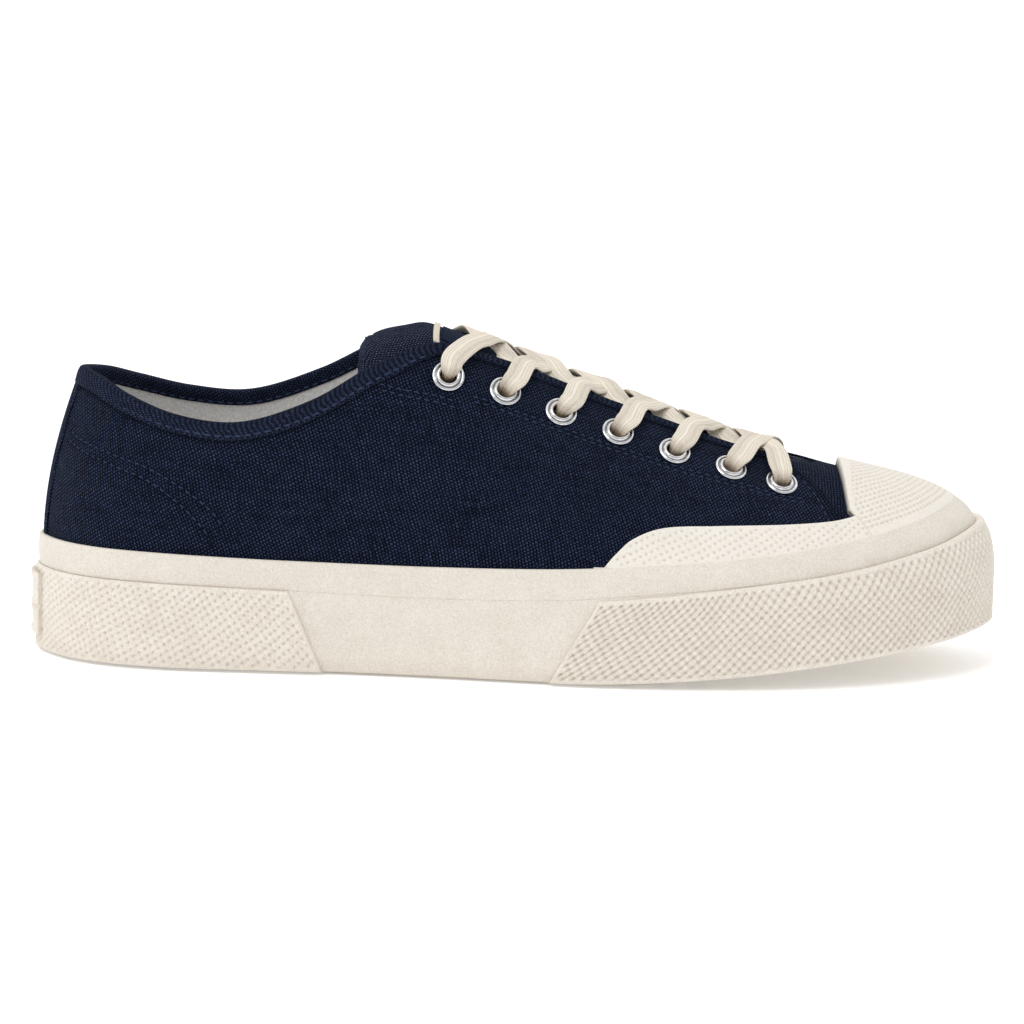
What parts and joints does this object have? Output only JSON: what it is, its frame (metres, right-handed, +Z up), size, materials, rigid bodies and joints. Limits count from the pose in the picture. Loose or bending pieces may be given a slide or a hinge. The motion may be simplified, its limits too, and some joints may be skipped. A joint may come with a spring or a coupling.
{
  "type": "low canvas sneaker",
  "caption": "Low lace-up canvas shoe for the right foot, with a thick moulded rubber sole, textured side strips, a rubber toe cap and metal eyelets.",
  "frame": {"origin": "on the floor under the middle of the shoe's length and width, the bottom centre of its box", "axes": "+X towards the toe, +Y towards the inner side of the foot, +Z up"},
  "size_m": [0.3002, 0.1029, 0.1045],
  "materials": {
    "tread_rubber": "matt cream rubber with moulded grooves",
    "sole_rubber": "matt cream rubber, finely grained",
    "smooth_rubber": "smooth cream rubber band",
    "strip_rubber": "cream rubber with a raised lattice",
    "patch_rubber": "plain moulded cream rubber",
    "cap_rubber": "cream rubber with curved rows of dots",
    "guard_rubber": "cream rubber with staggered dots",
    "canvas": "navy duck canvas with rolled binding and tone stitching",
    "tongue_canvas": "navy duck canvas with a blank woven label",
    "insole_cloth": "pale grey lining cloth",
    "eyelet_metal": "polished silver rings",
    "lace_cotton": "flat ecru cotton braid"
  },
  "bodies": {
    "root": {"outsole": "tread_rubber", "midsole": "sole_rubber", "insole": "insole_cloth", "rand": "smooth_rubber", "heel_strip": "strip_rubber", "toe_strip": "strip_rubber", "heel_patch": "patch_rubber", "upper": "canvas", "toe_cap": "cap_rubber", "toe_guard_outer": "guard_rubber", "toe_guard_inner": "guard_rubber", "tongue": "tongue_canvas", "eyelet_outer_1": "eyelet_metal", "eyelet_outer_2": "eyelet_metal", "eyelet_outer_3": "eyelet_metal", "eyelet_outer_4": "eyelet_metal", "eyelet_outer_5": "eyelet_metal", "eyelet_outer_6": "eyelet_metal", "eyelet_outer_7": "eyelet_metal", "eyelet_inner_1": "eyelet_metal", "eyelet_inner_2": "eyelet_metal", "eyelet_inner_3": "eyelet_metal", "eyelet_inner_4": "eyelet_metal", "eyelet_inner_5": "eyelet_metal", "eyelet_inner_6": "eyelet_metal", "eyelet_inner_7": "eyelet_metal", "lace_crossing_1": "lace_cotton", "lace_crossing_2": "lace_cotton", "lace_crossing_3": "lace_cotton", "lace_crossing_4": "lace_cotton", "lace_crossing_5": "lace_cotton", "lace_crossing_6": "lace_cotton"}
  },
  "joints": []
}
